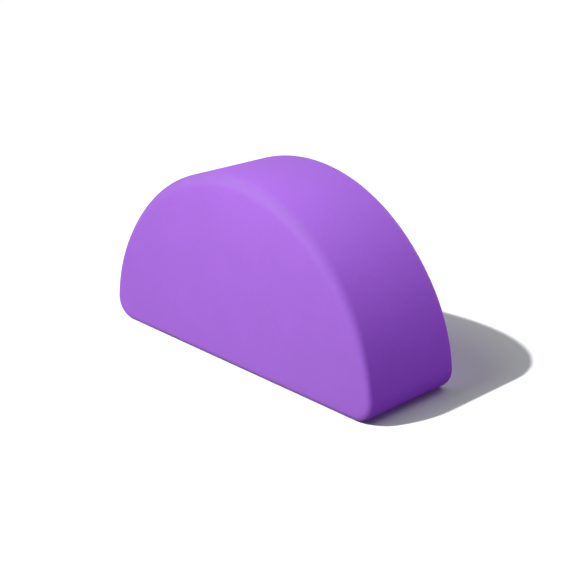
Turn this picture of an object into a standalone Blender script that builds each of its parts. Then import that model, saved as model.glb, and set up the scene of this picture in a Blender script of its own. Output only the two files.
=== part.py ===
"""Half-moon yoga block, cut and pressed from one piece of closed-cell EVA foam.

Seen from the front it is a D lying on its straight side: a circular arch that runs into two rounded
base corners and a flat base. Its front and rear faces are flat and parallel, and the rim round each
of them is rounded over.

Metres, +Z up. The origin is the centre of the base. X runs along the length, Y through the thickness,
with the front face towards -Y.
"""

import math

import bpy

# Driving dimensions
LENGTH = 0.245  # along X, at the widest
HEIGHT = 0.125  # from the base to the crown of the arch
THICKNESS = 0.076  # between the flat front and rear faces
CORNER_RADIUS = 0.014  # of the two base corners, seen from the front
RIM_RADIUS = 0.007  # rounding of the rims of the front and rear faces

# How finely the round stretches are divided
ARCH_STEPS = 72
CORNER_STEPS = 10
RIM_RESOLUTION = 4

# Finish
FOAM_COLOUR = (0.36, 0.12, 0.70, 1.0)
FOAM_ROUGHNESS = 0.62

# A rounded rim can't be wider than the wall that carries it
RIM = min(RIM_RADIUS, 0.8 * CORNER_RADIUS, 0.45 * THICKNESS)


def clear_scene():
    for obj in list(bpy.data.objects):
        bpy.data.objects.remove(obj)


def arc_points(centre, radius, start, end, steps):
    """Points along an arc in the X, Z plane, with the angles measured from +X towards +Z."""
    points = []
    for step in range(steps + 1):
        angle = start + (end - start) * step / steps
        points.append((centre[0] + radius * math.cos(angle), centre[1] + radius * math.sin(angle)))
    return points


def outline_points(inset):
    """The D seen from the front, drawn in by the inset: two base corners joined by the arch.

    The arch is the circle about the middle of the block that reaches the crown and touches both
    corner circles from outside. On a block taller than that circle needs, it is half a circle as
    wide as the block, and straight walls lift it to the crown.
    """
    corner_x = LENGTH / 2 - CORNER_RADIUS
    arch_rise = min(HEIGHT, LENGTH / 2 + CORNER_RADIUS)
    wall_height = HEIGHT - arch_rise
    above_corner = arch_rise - CORNER_RADIUS
    arch_radius = (corner_x**2 + above_corner**2 - CORNER_RADIUS**2) / (2 * (above_corner - CORNER_RADIUS))
    arch_centre = (0.0, HEIGHT - arch_radius)
    touch_angle = math.atan2(CORNER_RADIUS + wall_height - arch_centre[1], corner_x)

    down = -math.pi / 2
    corner_arc = CORNER_RADIUS - inset
    right = arc_points((corner_x, CORNER_RADIUS), corner_arc, down, touch_angle, CORNER_STEPS)
    arch = arc_points(arch_centre, arch_radius - inset, touch_angle, math.pi - touch_angle, ARCH_STEPS)
    left = [(-x, z) for x, z in reversed(right)]
    if wall_height == 0.0:
        arch = arch[1:-1]
    return right + arch + left


def foam_material():
    material = bpy.data.materials.new("eva_foam")
    material.use_nodes = True
    shader = material.node_tree.nodes["Principled BSDF"]
    shader.inputs["Base Color"].default_value = FOAM_COLOUR
    shader.inputs["Roughness"].default_value = FOAM_ROUGHNESS
    shader.inputs["Metallic"].default_value = 0.0
    return material


def make_foam_block(collection, parent):
    """The whole block: the outline drawn in by the rim, extruded, and grown outwards by the rim."""
    points = outline_points(RIM)
    curve = bpy.data.curves.new("foam_block", "CURVE")
    curve.dimensions = "2D"
    curve.fill_mode = "BOTH"
    curve.extrude = THICKNESS / 2 - RIM
    curve.bevel_depth = RIM
    curve.bevel_resolution = RIM_RESOLUTION
    spline = curve.splines.new("POLY")
    spline.points.add(len(points) - 1)
    for point, (x, z) in zip(spline.points, points):
        point.co = (x, z, 0.0, 1.0)
    spline.use_cyclic_u = True
    curve.materials.append(foam_material())

    block = bpy.data.objects.new("foam_block", curve)
    block.rotation_euler = (math.pi / 2, 0.0, 0.0)
    block.parent = parent
    collection.objects.link(block)


def main():
    clear_scene()
    collection = bpy.data.collections.new("yoga_block")
    bpy.context.scene.collection.children.link(collection)
    base_centre = bpy.data.objects.new("base_centre", None)
    base_centre.empty_display_size = HEIGHT / 4
    collection.objects.link(base_centre)
    make_foam_block(collection, base_centre)


main()
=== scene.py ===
"""Looks of the half-moon yoga block: its moulded foam body, a pale floor, soft light and the camera."""

import math

import bmesh
import bpy
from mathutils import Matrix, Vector, geometry, kdtree, noise


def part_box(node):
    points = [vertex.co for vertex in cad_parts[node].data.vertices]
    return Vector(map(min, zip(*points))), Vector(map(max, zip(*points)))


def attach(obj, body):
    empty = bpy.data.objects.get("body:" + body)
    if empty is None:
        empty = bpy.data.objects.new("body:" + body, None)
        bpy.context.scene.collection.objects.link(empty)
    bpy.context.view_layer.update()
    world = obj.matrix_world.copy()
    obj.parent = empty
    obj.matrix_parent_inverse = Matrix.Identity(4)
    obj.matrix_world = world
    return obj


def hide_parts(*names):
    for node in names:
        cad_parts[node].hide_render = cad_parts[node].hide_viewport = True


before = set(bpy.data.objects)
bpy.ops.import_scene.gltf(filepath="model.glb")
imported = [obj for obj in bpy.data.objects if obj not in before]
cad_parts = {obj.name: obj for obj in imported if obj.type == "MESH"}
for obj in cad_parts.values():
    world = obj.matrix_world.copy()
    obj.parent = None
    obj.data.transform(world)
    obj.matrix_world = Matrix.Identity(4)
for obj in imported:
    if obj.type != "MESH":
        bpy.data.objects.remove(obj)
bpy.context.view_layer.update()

# The block, in metres. Its three outer sizes are the frame's own, and the corner radius is the solid's.
BLOCK_LOW, BLOCK_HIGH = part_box("foam_block")
LENGTH = BLOCK_HIGH.x - BLOCK_LOW.x
THICKNESS = BLOCK_HIGH.y - BLOCK_LOW.y
HEIGHT = BLOCK_HIGH.z - BLOCK_LOW.z
CORNER_RADIUS = 0.014
BLOCK_MIDDLE = Vector((0.0, 0.0, HEIGHT / 2))

# The arch is the circle through the crown that touches both base corners from outside
CORNER_X = LENGTH / 2 - CORNER_RADIUS
ABOVE_CORNER = HEIGHT - CORNER_RADIUS
ARCH_RADIUS = (CORNER_X**2 + ABOVE_CORNER**2 - CORNER_RADIUS**2) / (2 * (ABOVE_CORNER - CORNER_RADIUS))
ARCH_CENTRE = (0.0, HEIGHT - ARCH_RADIUS)

# Rounding of the rims of the front and rear faces: generous over the arch, tighter round the base.
# It changes from one to the other where the outline faces these angles above the horizontal.
ARCH_RIM_RADIUS = 0.0073
BASE_RIM_RADIUS = 0.0040
RIM_CHANGE_LOW = math.radians(10.0)
RIM_CHANGE_HIGH = math.radians(45.0)

# How finely the skin is divided, in metres along the outline and over the faces, and in steps across
ARCH_STEP = 0.0016
CORNER_STEP = 0.0008
FACE_STEP = 0.0018
RIM_STEPS = 8
WALL_STEPS = 40
LEAST_STEPS = 2

# A face's inner points keep this share of a step from its border, and points closer than the next merge.
# The last value asks Blender for the triangles inside the border.
BORDER_SPACING = 0.6
MERGE_DISTANCE = 0.00001
TRIANGLES_INSIDE = 1

# Unevenness that pressing leaves in the skin: how wide the waves are, and how deep they go.
# Skin that faces further down than the last value stays flat.
BROAD_WAVE = (0.070, 0.00016)
MIDDLE_WAVE = (0.018, 0.00004)
FINE_WAVE = (0.004, 0.000012)
BASE_NORMAL = -0.98

# Foam colours, linear. The foam's tone runs from deep, 0, to pale, 1, and is usually the one given last.
FOAM_DEEP = (0.308, 0.114, 0.565, 1.0)
FOAM_PALE = (0.427, 0.158, 0.782, 1.0)
USUAL_TONE = 0.65

# The mesh says under this name how strongly the rims' painted shade and smoothing show at each place.
# Where it is strongest, the foam's colour is multiplied by this darker, greyer tint, painted shade that
# dims the rims' highlight.
RIM_LAYER = "rim"
RIM_PAINTED_SHADE = (0.83, 0.985, 0.80, 1.0)

# Foam texture: how wide each pattern is and how deep it goes, in metres, and how far it shifts the tone.
# Each pattern's own values lie about one middle, which is taken off them.
PATTERN_MIDDLE = 0.5
NOISE_ROUGHNESS = 0.5
CELL_SIZE = 0.00048
CELL_DEPTH = 0.000022
CELL_TONE = 0.16
CELL_VARIETY = 0.20
PEBBLE_SIZE = 0.0026
PEBBLE_DEPTH = 0.000040
PEBBLE_DETAIL = 3.0
PEBBLE_TONE = 0.24
MOTTLE_SIZE = 0.030
MOTTLE_DETAIL = 4.0
MOTTLE_TONE = 0.39

# Pinholes: how far apart, how wide at the skin and at the bottom, how deep, and how far painted shade
# darkens their tone
PORE_SPACING = 0.0034
PORE_RADIUS = 0.00022
PORE_FLOOR = 0.00008
PORE_DEPTH = 0.00010
PORE_PAINTED_SHADE = -0.60

# Foam finish: matt, a little smoother on the rims
ROUGHNESS = 0.74
ROUGHNESS_SPREAD = 0.12
RIM_SMOOTHING = 0.08
SPECULAR_LEVEL = 0.17

# Floor and backdrop, linear. The camera sees the floor's colour, and light thrown back has the bounce's.
FLOOR_COLOUR = (0.98, 0.98, 0.98, 1.0)
FLOOR_BOUNCE_COLOUR = (0.04, 0.04, 0.04, 1.0)
FLOOR_SIZE = 14.0
BACKDROP_COLOUR = (1.0, 1.0, 1.0, 1.0)

# Camera: where it stands, in degrees and metres, and its lens, as pixels of the picture.
# The block's middle lies at the pixel given last.
FRAME_PIXELS = 576
SENSOR_WIDTH = 36.0
LENS_PIXELS = 1201.5
CAMERA_AZIMUTH = 46.53
CAMERA_ELEVATION = 20.77
CAMERA_DISTANCE = 0.7776
BLOCK_MIDDLE_PIXEL = (273.2, 260.8)

# Lamps, in degrees and metres. At strength 1 a lamp alone shows a white surface that faces it as white.
# The sun and its fill boxes light the floor alone, and the other soft boxes the block alone.
# The sun shines alike from any distance.
SUN_AZIMUTH = -32.2
SUN_ELEVATION = 45.9
SUN_DISTANCE = 1.0
SUN_STRENGTH = 1.25
SUN_ANGLE = 1.7
SKY_COLOUR = (0.948, 1.0, 1.052, 1.0)
SKY_STRENGTH = 0.10
WHITE_LIGHT = (1.0, 1.0, 1.0)
VIOLET_LIGHT = (1.00, 0.36, 1.46)
GREENISH_LIGHT = (0.93, 1.00, 0.89)
FLOOR_BOXES = {
    "near_fill": {"azimuth": -32.0, "elevation": 46.0, "distance": 1.20, "size": 0.80, "strength": 0.39,
                  "colour": GREENISH_LIGHT},
    "rear_fill": {"azimuth": 150.0, "elevation": 60.0, "distance": 1.20, "size": 0.80, "strength": 0.165,
                  "colour": GREENISH_LIGHT},
}
BLOCK_BOXES = {
    "front_box": {"azimuth": -18.0, "elevation": 5.0, "distance": 1.20, "size": 0.80, "strength": 1.06,
                  "colour": WHITE_LIGHT},
    "top_box": {"azimuth": 20.0, "elevation": 60.0, "distance": 0.30, "size": 0.20, "strength": 0.58,
                "colour": WHITE_LIGHT},
    "side_box": {"azimuth": 90.0, "elevation": 4.0, "distance": 1.20, "size": 0.20, "strength": 0.168,
                 "colour": VIOLET_LIGHT},
    "rear_box": {"azimuth": 180.0, "elevation": 45.0, "distance": 1.20, "size": 0.80, "strength": 0.41,
                 "colour": WHITE_LIGHT},
    "low_rear_box": {"azimuth": 195.0, "elevation": 4.0, "distance": 1.20, "size": 0.30, "strength": 0.40,
                     "colour": WHITE_LIGHT},
}


def direction(azimuth, elevation):
    """The way from the block towards a place at that bearing; azimuth 0 is in front of it."""
    turn = math.radians(azimuth)
    rise = math.radians(elevation)
    return Vector((math.sin(turn) * math.cos(rise), -math.cos(turn) * math.cos(rise), math.sin(rise)))


def arc_points(centre, radius, start, end, spacing):
    """Points along an arc in the X, Z plane, about that far apart, with the way out at each."""
    steps = max(LEAST_STEPS, round(abs(end - start) * radius / spacing))
    points = []
    for step in range(steps + 1):
        angle = start + (end - start) * step / steps
        out = Vector((math.cos(angle), 0.0, math.sin(angle)))
        points.append((Vector((centre[0], 0.0, centre[1])) + radius * out, out))
    return points


def straight_points(start, end, out, spacing):
    """Points between two places, without the places themselves, with the same way out at each."""
    steps = max(LEAST_STEPS, round((end - start).length / spacing))
    return [(start.lerp(end, step / steps), out) for step in range(1, steps)]


def mirrored(vector):
    """A vector with left and right exchanged."""
    return Vector((-vector.x, vector.y, vector.z))


def outline_points():
    """The D seen from the front, counter-clockwise from the right end of the base."""
    touch_angle = math.atan2(CORNER_RADIUS - ARCH_CENTRE[1], CORNER_X)
    down = -math.pi / 2
    right = arc_points((CORNER_X, CORNER_RADIUS), CORNER_RADIUS, down, touch_angle, CORNER_STEP)
    arch = arc_points(ARCH_CENTRE, ARCH_RADIUS, touch_angle, math.pi - touch_angle, ARCH_STEP)
    left = [(mirrored(place), mirrored(out)) for place, out in reversed(right)]
    base = straight_points(left[-1][0], right[0][0], Vector((0.0, 0.0, -1.0)), ARCH_STEP)
    return right + arch[1:-1] + left + base


def smooth_step(value, low, high):
    """0 up to low, 1 from high on, and a smooth rise between them."""
    share = min(1.0, max(0.0, (value - low) / (high - low)))
    return share * share * (3 - 2 * share)


def rim_radius(out):
    """How far the rims are rounded where the outline faces that way."""
    share = smooth_step(math.atan2(out.z, abs(out.x)), RIM_CHANGE_LOW, RIM_CHANGE_HIGH)
    return BASE_RIM_RADIUS + (ARCH_RIM_RADIUS - BASE_RIM_RADIUS) * share


def skin_strip(place, out):
    """The places from the front face over the wall to the rear face, at one place of the outline.

    With each comes how strongly the rims' painted shade and smoothing show there. It is strongest in the
    middle of a rim that faces up or down, and fades to 0 where the rim ends or stands upright.
    """
    radius = rim_radius(out)
    strength = out.z**2
    front_rim = []
    for step in range(RIM_STEPS + 1):
        angle = math.pi / 2 * step / RIM_STEPS
        y = -THICKNESS / 2 + radius * (1 - math.cos(angle))
        front_rim.append((-radius * (1 - math.sin(angle)), y, strength * math.sin(2 * angle)))
    width = THICKNESS - 2 * radius
    wall = [(0.0, width * (step / WALL_STEPS - 0.5), 0.0) for step in range(1, WALL_STEPS)]
    rear_rim = [(outwards, -y, rim) for outwards, y, rim in reversed(front_rim)]
    strip = front_rim + wall + rear_rim
    return [(place + outwards * out + Vector((0.0, y, 0.0)), rim) for outwards, y, rim in strip]


def row_ends(border, z):
    """Where a level line at height z crosses the closed border: its lowest and highest x."""
    crossings = []
    for (x1, z1), (x2, z2) in zip(border, border[1:] + border[:1]):
        if (z1 < z) != (z2 < z):
            crossings.append(x1 + (x2 - x1) * (z - z1) / (z2 - z1))
    return (min(crossings), max(crossings)) if crossings else (0.0, 0.0)


def face_points(border):
    """Border points, as (x, z), and an even triangular grid of points well inside them."""
    border_tree = kdtree.KDTree(len(border))
    for index, (x, z) in enumerate(border):
        border_tree.insert((x, z, 0.0), index)
    border_tree.balance()
    points = list(border)
    row_step = FACE_STEP * math.sqrt(3) / 2
    for row in range(1, int(HEIGHT / row_step)):
        z = row * row_step
        left, right = row_ends(border, z)
        shift = FACE_STEP / 2 * (row % 2)
        for column in range(math.ceil((left - shift) / FACE_STEP), math.ceil((right - shift) / FACE_STEP)):
            x = column * FACE_STEP + shift
            _, _, distance = border_tree.find((x, z, 0.0))
            if distance > BORDER_SPACING * FACE_STEP:
                points.append((x, z))
    return points


def add_strips(mesh):
    """The skin's vertices over the wall and both rims, as one strip for each place of the outline."""
    rim_layer = mesh.verts.layers.float.new(RIM_LAYER)
    strips = []
    for place, out in outline_points():
        strip = []
        for point, rim in skin_strip(place, out):
            vertex = mesh.verts.new(point)
            vertex[rim_layer] = rim
            strip.append(vertex)
        strips.append(strip)
    return strips


def add_wall(mesh, strips):
    """Closes the skin between neighbouring strips."""
    for strip, following in zip(strips, strips[1:] + strips[:1]):
        for i in range(len(strip) - 1):
            mesh.faces.new((strip[i], following[i], following[i + 1], strip[i + 1]))


def add_face(mesh, ring):
    """Closes one end of the block with a flat face of even triangles."""
    y = ring[0].co.y
    points = [Vector(point) for point in face_points([(vertex.co.x, vertex.co.z) for vertex in ring])]
    edges = [(i, (i + 1) % len(ring)) for i in range(len(ring))]
    made = geometry.delaunay_2d_cdt(points, edges, [], TRIANGLES_INSIDE, MERGE_DISTANCE)
    places, _, triangles = made[:3]
    vertices = list(ring)
    for place in places[len(ring):]:
        vertices.append(mesh.verts.new((place.x, y, place.y)))
    for corners in triangles:
        mesh.faces.new([vertices[corner] for corner in corners])


def pressed_in(place):
    """How far the skin lies below the ideal surface at a place: about a fifth of a millimetre at most."""
    depth = 0.0
    for size, reach in (BROAD_WAVE, MIDDLE_WAVE, FINE_WAVE):
        depth += reach * (1.0 + noise.noise(place / size)) / 2
    return depth


def press_skin(mesh):
    """Makes the skin a touch uneven, apart from the flat of the base."""
    moves = []
    for vertex in mesh.verts:
        if vertex.normal.z > BASE_NORMAL:
            moves.append((vertex, -vertex.normal * pressed_in(vertex.co)))
    for vertex, move in moves:
        vertex.co += move


def make_foam_body():
    """The whole block as one closed skin."""
    mesh = bmesh.new()
    strips = add_strips(mesh)
    add_wall(mesh, strips)
    add_face(mesh, [strip[0] for strip in strips])
    add_face(mesh, [strip[-1] for strip in strips])
    bmesh.ops.recalc_face_normals(mesh, faces=mesh.faces)
    mesh.normal_update()
    press_skin(mesh)
    data = bpy.data.meshes.new("moulded_foam")
    mesh.to_mesh(data)
    mesh.free()
    data.shade_smooth()
    body = bpy.data.objects.new("moulded_foam", data)
    bpy.context.scene.collection.objects.link(body)
    return body


def feed(tree, socket, value):
    """Gives an input a value, or links another node's output to it."""
    if isinstance(value, bpy.types.NodeSocket):
        tree.links.new(value, socket)
    else:
        socket.default_value = value


def add_node(tree, kind, settings=None, **inputs):
    """A new node, with its settings made first and its named inputs fed after them."""
    node = tree.nodes.new(kind)
    for name, value in (settings or {}).items():
        setattr(node, name, value)
    for name, value in inputs.items():
        feed(tree, node.inputs[name.replace("_", " ")], value)
    return node


def calculate(tree, operation, first, second=0.0, third=0.0):
    """The output of a Math node."""
    node = add_node(tree, "ShaderNodeMath", {"operation": operation})
    for socket, value in zip(node.inputs, (first, second, third)):
        feed(tree, socket, value)
    return node.outputs[0]


def weighted_sum(tree, start, *terms):
    """The start plus each term's value times its weight."""
    total = start
    for value, weight in terms:
        total = calculate(tree, "MULTIPLY_ADD", value, weight, total)
    return total


def mix_colours(tree, share, first, second, blend="MIX"):
    """The first colour, changed towards the second by a share from 0 to 1."""
    settings = {"data_type": "RGBA", "blend_type": blend}
    return add_node(tree, "ShaderNodeMix", settings, Factor=share, A=first, B=second).outputs["Result"]


def noise_pattern(tree, place, size, detail):
    """Soft lumps about that size, as a value about 0 that runs from -0.5 to 0.5."""
    node = add_node(tree, "ShaderNodeTexNoise", Vector=place, Scale=1 / size, Detail=detail,
                    Roughness=NOISE_ROUGHNESS)
    return calculate(tree, "SUBTRACT", node.outputs["Fac"], PATTERN_MIDDLE)


def cell_pattern(tree, place):
    """Closed cells: how far out in its cell a place lies, and a shade for each cell, both about 0."""
    node = add_node(tree, "ShaderNodeTexVoronoi", Vector=place, Scale=1 / CELL_SIZE)
    outwards = calculate(tree, "SUBTRACT", node.outputs["Distance"], PATTERN_MIDDLE)
    shade = calculate(tree, "SUBTRACT", node.outputs["Color"], PATTERN_MIDDLE)
    return outwards, shade


def pore_pattern(tree, place):
    """Pinholes where a larger cell has opened at the skin: 1 in a hole, 0 elsewhere."""
    node = add_node(tree, "ShaderNodeTexVoronoi", Vector=place, Scale=1 / PORE_SPACING)
    hole = add_node(tree, "ShaderNodeMapRange", {"interpolation_type": "SMOOTHSTEP"},
                    Value=node.outputs["Distance"], From_Min=PORE_RADIUS / PORE_SPACING,
                    From_Max=PORE_FLOOR / PORE_SPACING)
    return hole.outputs["Result"]


def foam_material():
    """Closed-cell foam: fine cells, pinholes with painted shade, a pebbled skin, faint mottling, painted
    shade greying the rims.
    """
    material = bpy.data.materials.new("eva_foam")
    material.use_nodes = True
    tree = material.node_tree
    place = add_node(tree, "ShaderNodeTexCoord").outputs["Object"]
    cells, shades = cell_pattern(tree, place)
    pores = pore_pattern(tree, place)
    pebbles = noise_pattern(tree, place, PEBBLE_SIZE, PEBBLE_DETAIL)
    mottle = noise_pattern(tree, place, MOTTLE_SIZE, MOTTLE_DETAIL)
    rim = add_node(tree, "ShaderNodeAttribute", {"attribute_name": RIM_LAYER}).outputs["Fac"]

    # The pinholes' term is painted shade: it darkens the foam's colour inside each hole
    tone = weighted_sum(tree, USUAL_TONE, (cells, CELL_TONE), (shades, CELL_VARIETY),
                        (pebbles, PEBBLE_TONE), (mottle, MOTTLE_TONE), (pores, PORE_PAINTED_SHADE))
    colour = mix_colours(tree, tone, FOAM_DEEP, FOAM_PALE)
    # Painted shade: the rims' colour is multiplied by a darker, greyer tint that dims their highlight
    rim_shaded_colour = mix_colours(tree, rim, colour, RIM_PAINTED_SHADE, blend="MULTIPLY")
    roughness = weighted_sum(tree, ROUGHNESS, (mottle, ROUGHNESS_SPREAD), (pebbles, ROUGHNESS_SPREAD),
                             (rim, -RIM_SMOOTHING))
    # At strength and distance 1 the bump takes its height as metres
    height = weighted_sum(tree, 0.0, (cells, CELL_DEPTH), (pebbles, PEBBLE_DEPTH), (pores, -PORE_DEPTH))
    bump = add_node(tree, "ShaderNodeBump", Height=height, Distance=1.0, Strength=1.0)

    shader = tree.nodes["Principled BSDF"]
    feed(tree, shader.inputs["Base Color"], rim_shaded_colour)
    feed(tree, shader.inputs["Roughness"], roughness)
    feed(tree, shader.inputs["Normal"], bump.outputs["Normal"])
    feed(tree, shader.inputs["Specular IOR Level"], SPECULAR_LEVEL)
    return material


def seen_directly(tree):
    """1 for what is seen by the camera, in a reflection or through glass, and 0 for light thrown back."""
    path = add_node(tree, "ShaderNodeLightPath").outputs
    glossy = calculate(tree, "MAXIMUM", path["Is Camera Ray"], path["Is Glossy Ray"])
    return calculate(tree, "MAXIMUM", glossy, path["Is Transmission Ray"])


def floor_material():
    """Pale, and as bright as white where the lamps reach it, but dull in the light that it throws back."""
    material = bpy.data.materials.new("studio_floor")
    material.use_nodes = True
    tree = material.node_tree
    tree.nodes.clear()
    colour = mix_colours(tree, seen_directly(tree), FLOOR_BOUNCE_COLOUR, FLOOR_COLOUR)
    diffuse = add_node(tree, "ShaderNodeBsdfDiffuse", Color=colour)
    add_node(tree, "ShaderNodeOutputMaterial", Surface=diffuse.outputs["BSDF"])
    return material


def make_floor():
    """The floor that the block stands on, which is no part of it."""
    bpy.ops.mesh.primitive_plane_add(size=FLOOR_SIZE, location=(0.0, 0.0, 0.0))
    floor = bpy.context.object
    floor.name = "floor"
    floor.data.materials.append(floor_material())
    return floor


def make_world():
    """A faint even sky, which the camera and reflections see as plain white."""
    world = bpy.data.worlds.new("studio")
    bpy.context.scene.world = world
    world.use_nodes = True
    tree = world.node_tree
    tree.nodes.clear()
    sky = add_node(tree, "ShaderNodeBackground", Color=SKY_COLOUR, Strength=SKY_STRENGTH)
    backdrop = add_node(tree, "ShaderNodeBackground", Color=BACKDROP_COLOUR)
    mix = add_node(tree, "ShaderNodeMixShader", Fac=seen_directly(tree))
    _, when_not_seen, when_seen = mix.inputs
    feed(tree, when_not_seen, sky.outputs["Background"])
    feed(tree, when_seen, backdrop.outputs["Background"])
    add_node(tree, "ShaderNodeOutputWorld", Surface=mix.outputs["Shader"])


def hang_lamp(light, azimuth, elevation, distance, lit_thing):
    """Puts a light at a bearing from the block, turned towards it, and keeps it for one thing."""
    towards = direction(azimuth, elevation)
    lamp = bpy.data.objects.new(light.name, light)
    lamp.location = BLOCK_MIDDLE + distance * towards
    lamp.rotation_euler = towards.to_track_quat("Z", "Y").to_euler()
    lamp.visible_camera = False
    lit_things = bpy.data.collections.new("lit_by_" + light.name)
    lit_things.objects.link(lit_thing)
    lamp.light_linking.receiver_collection = lit_things
    bpy.context.scene.collection.objects.link(lamp)


def make_sun(floor):
    """The light that shows the floor white and draws the block's shadow on it."""
    sun = bpy.data.lights.new("sun", "SUN")
    sun.energy = math.pi * SUN_STRENGTH
    sun.angle = math.radians(SUN_ANGLE)
    hang_lamp(sun, SUN_AZIMUTH, SUN_ELEVATION, SUN_DISTANCE, floor)


def make_soft_boxes(boxes, lit_thing):
    """Round soft boxes that light one thing."""
    for name, box in boxes.items():
        light = bpy.data.lights.new(name, "AREA")
        light.shape = "DISK"
        light.size = box["size"]
        light.energy = math.pi**2 * box["distance"] ** 2 * box["strength"]
        light.color = box["colour"]
        hang_lamp(light, box["azimuth"], box["elevation"], box["distance"], lit_thing)


def make_camera():
    """A camera without roll, moved across and down so that the block lies where it does in the picture."""
    back = direction(CAMERA_AZIMUTH, CAMERA_ELEVATION)
    right = Vector((0.0, 0.0, 1.0)).cross(back).normalized()
    up = back.cross(right)
    metres_per_pixel = CAMERA_DISTANCE / LENS_PIXELS
    block_x, block_y = BLOCK_MIDDLE_PIXEL
    across = (FRAME_PIXELS / 2 - block_x) * metres_per_pixel
    down = (FRAME_PIXELS / 2 - block_y) * metres_per_pixel
    data = bpy.data.cameras.new("camera")
    data.sensor_width = SENSOR_WIDTH
    data.lens = LENS_PIXELS / FRAME_PIXELS * SENSOR_WIDTH
    camera = bpy.data.objects.new("camera", data)
    camera.location = BLOCK_MIDDLE + CAMERA_DISTANCE * back + across * right - down * up
    camera.rotation_euler = back.to_track_quat("Z", "Y").to_euler()
    bpy.context.scene.collection.objects.link(camera)
    bpy.context.scene.camera = camera


def main():
    """Sets up the camera, the light and the floor, and dresses the block."""
    make_camera()
    make_world()
    floor = make_floor()
    make_sun(floor)
    make_soft_boxes(FLOOR_BOXES, floor)
    body = make_foam_body()
    body.data.materials.append(foam_material())
    make_soft_boxes(BLOCK_BOXES, body)
    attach(body, "root")
    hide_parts("foam_block")
    bpy.context.scene.view_settings.view_transform = "Standard"


main()
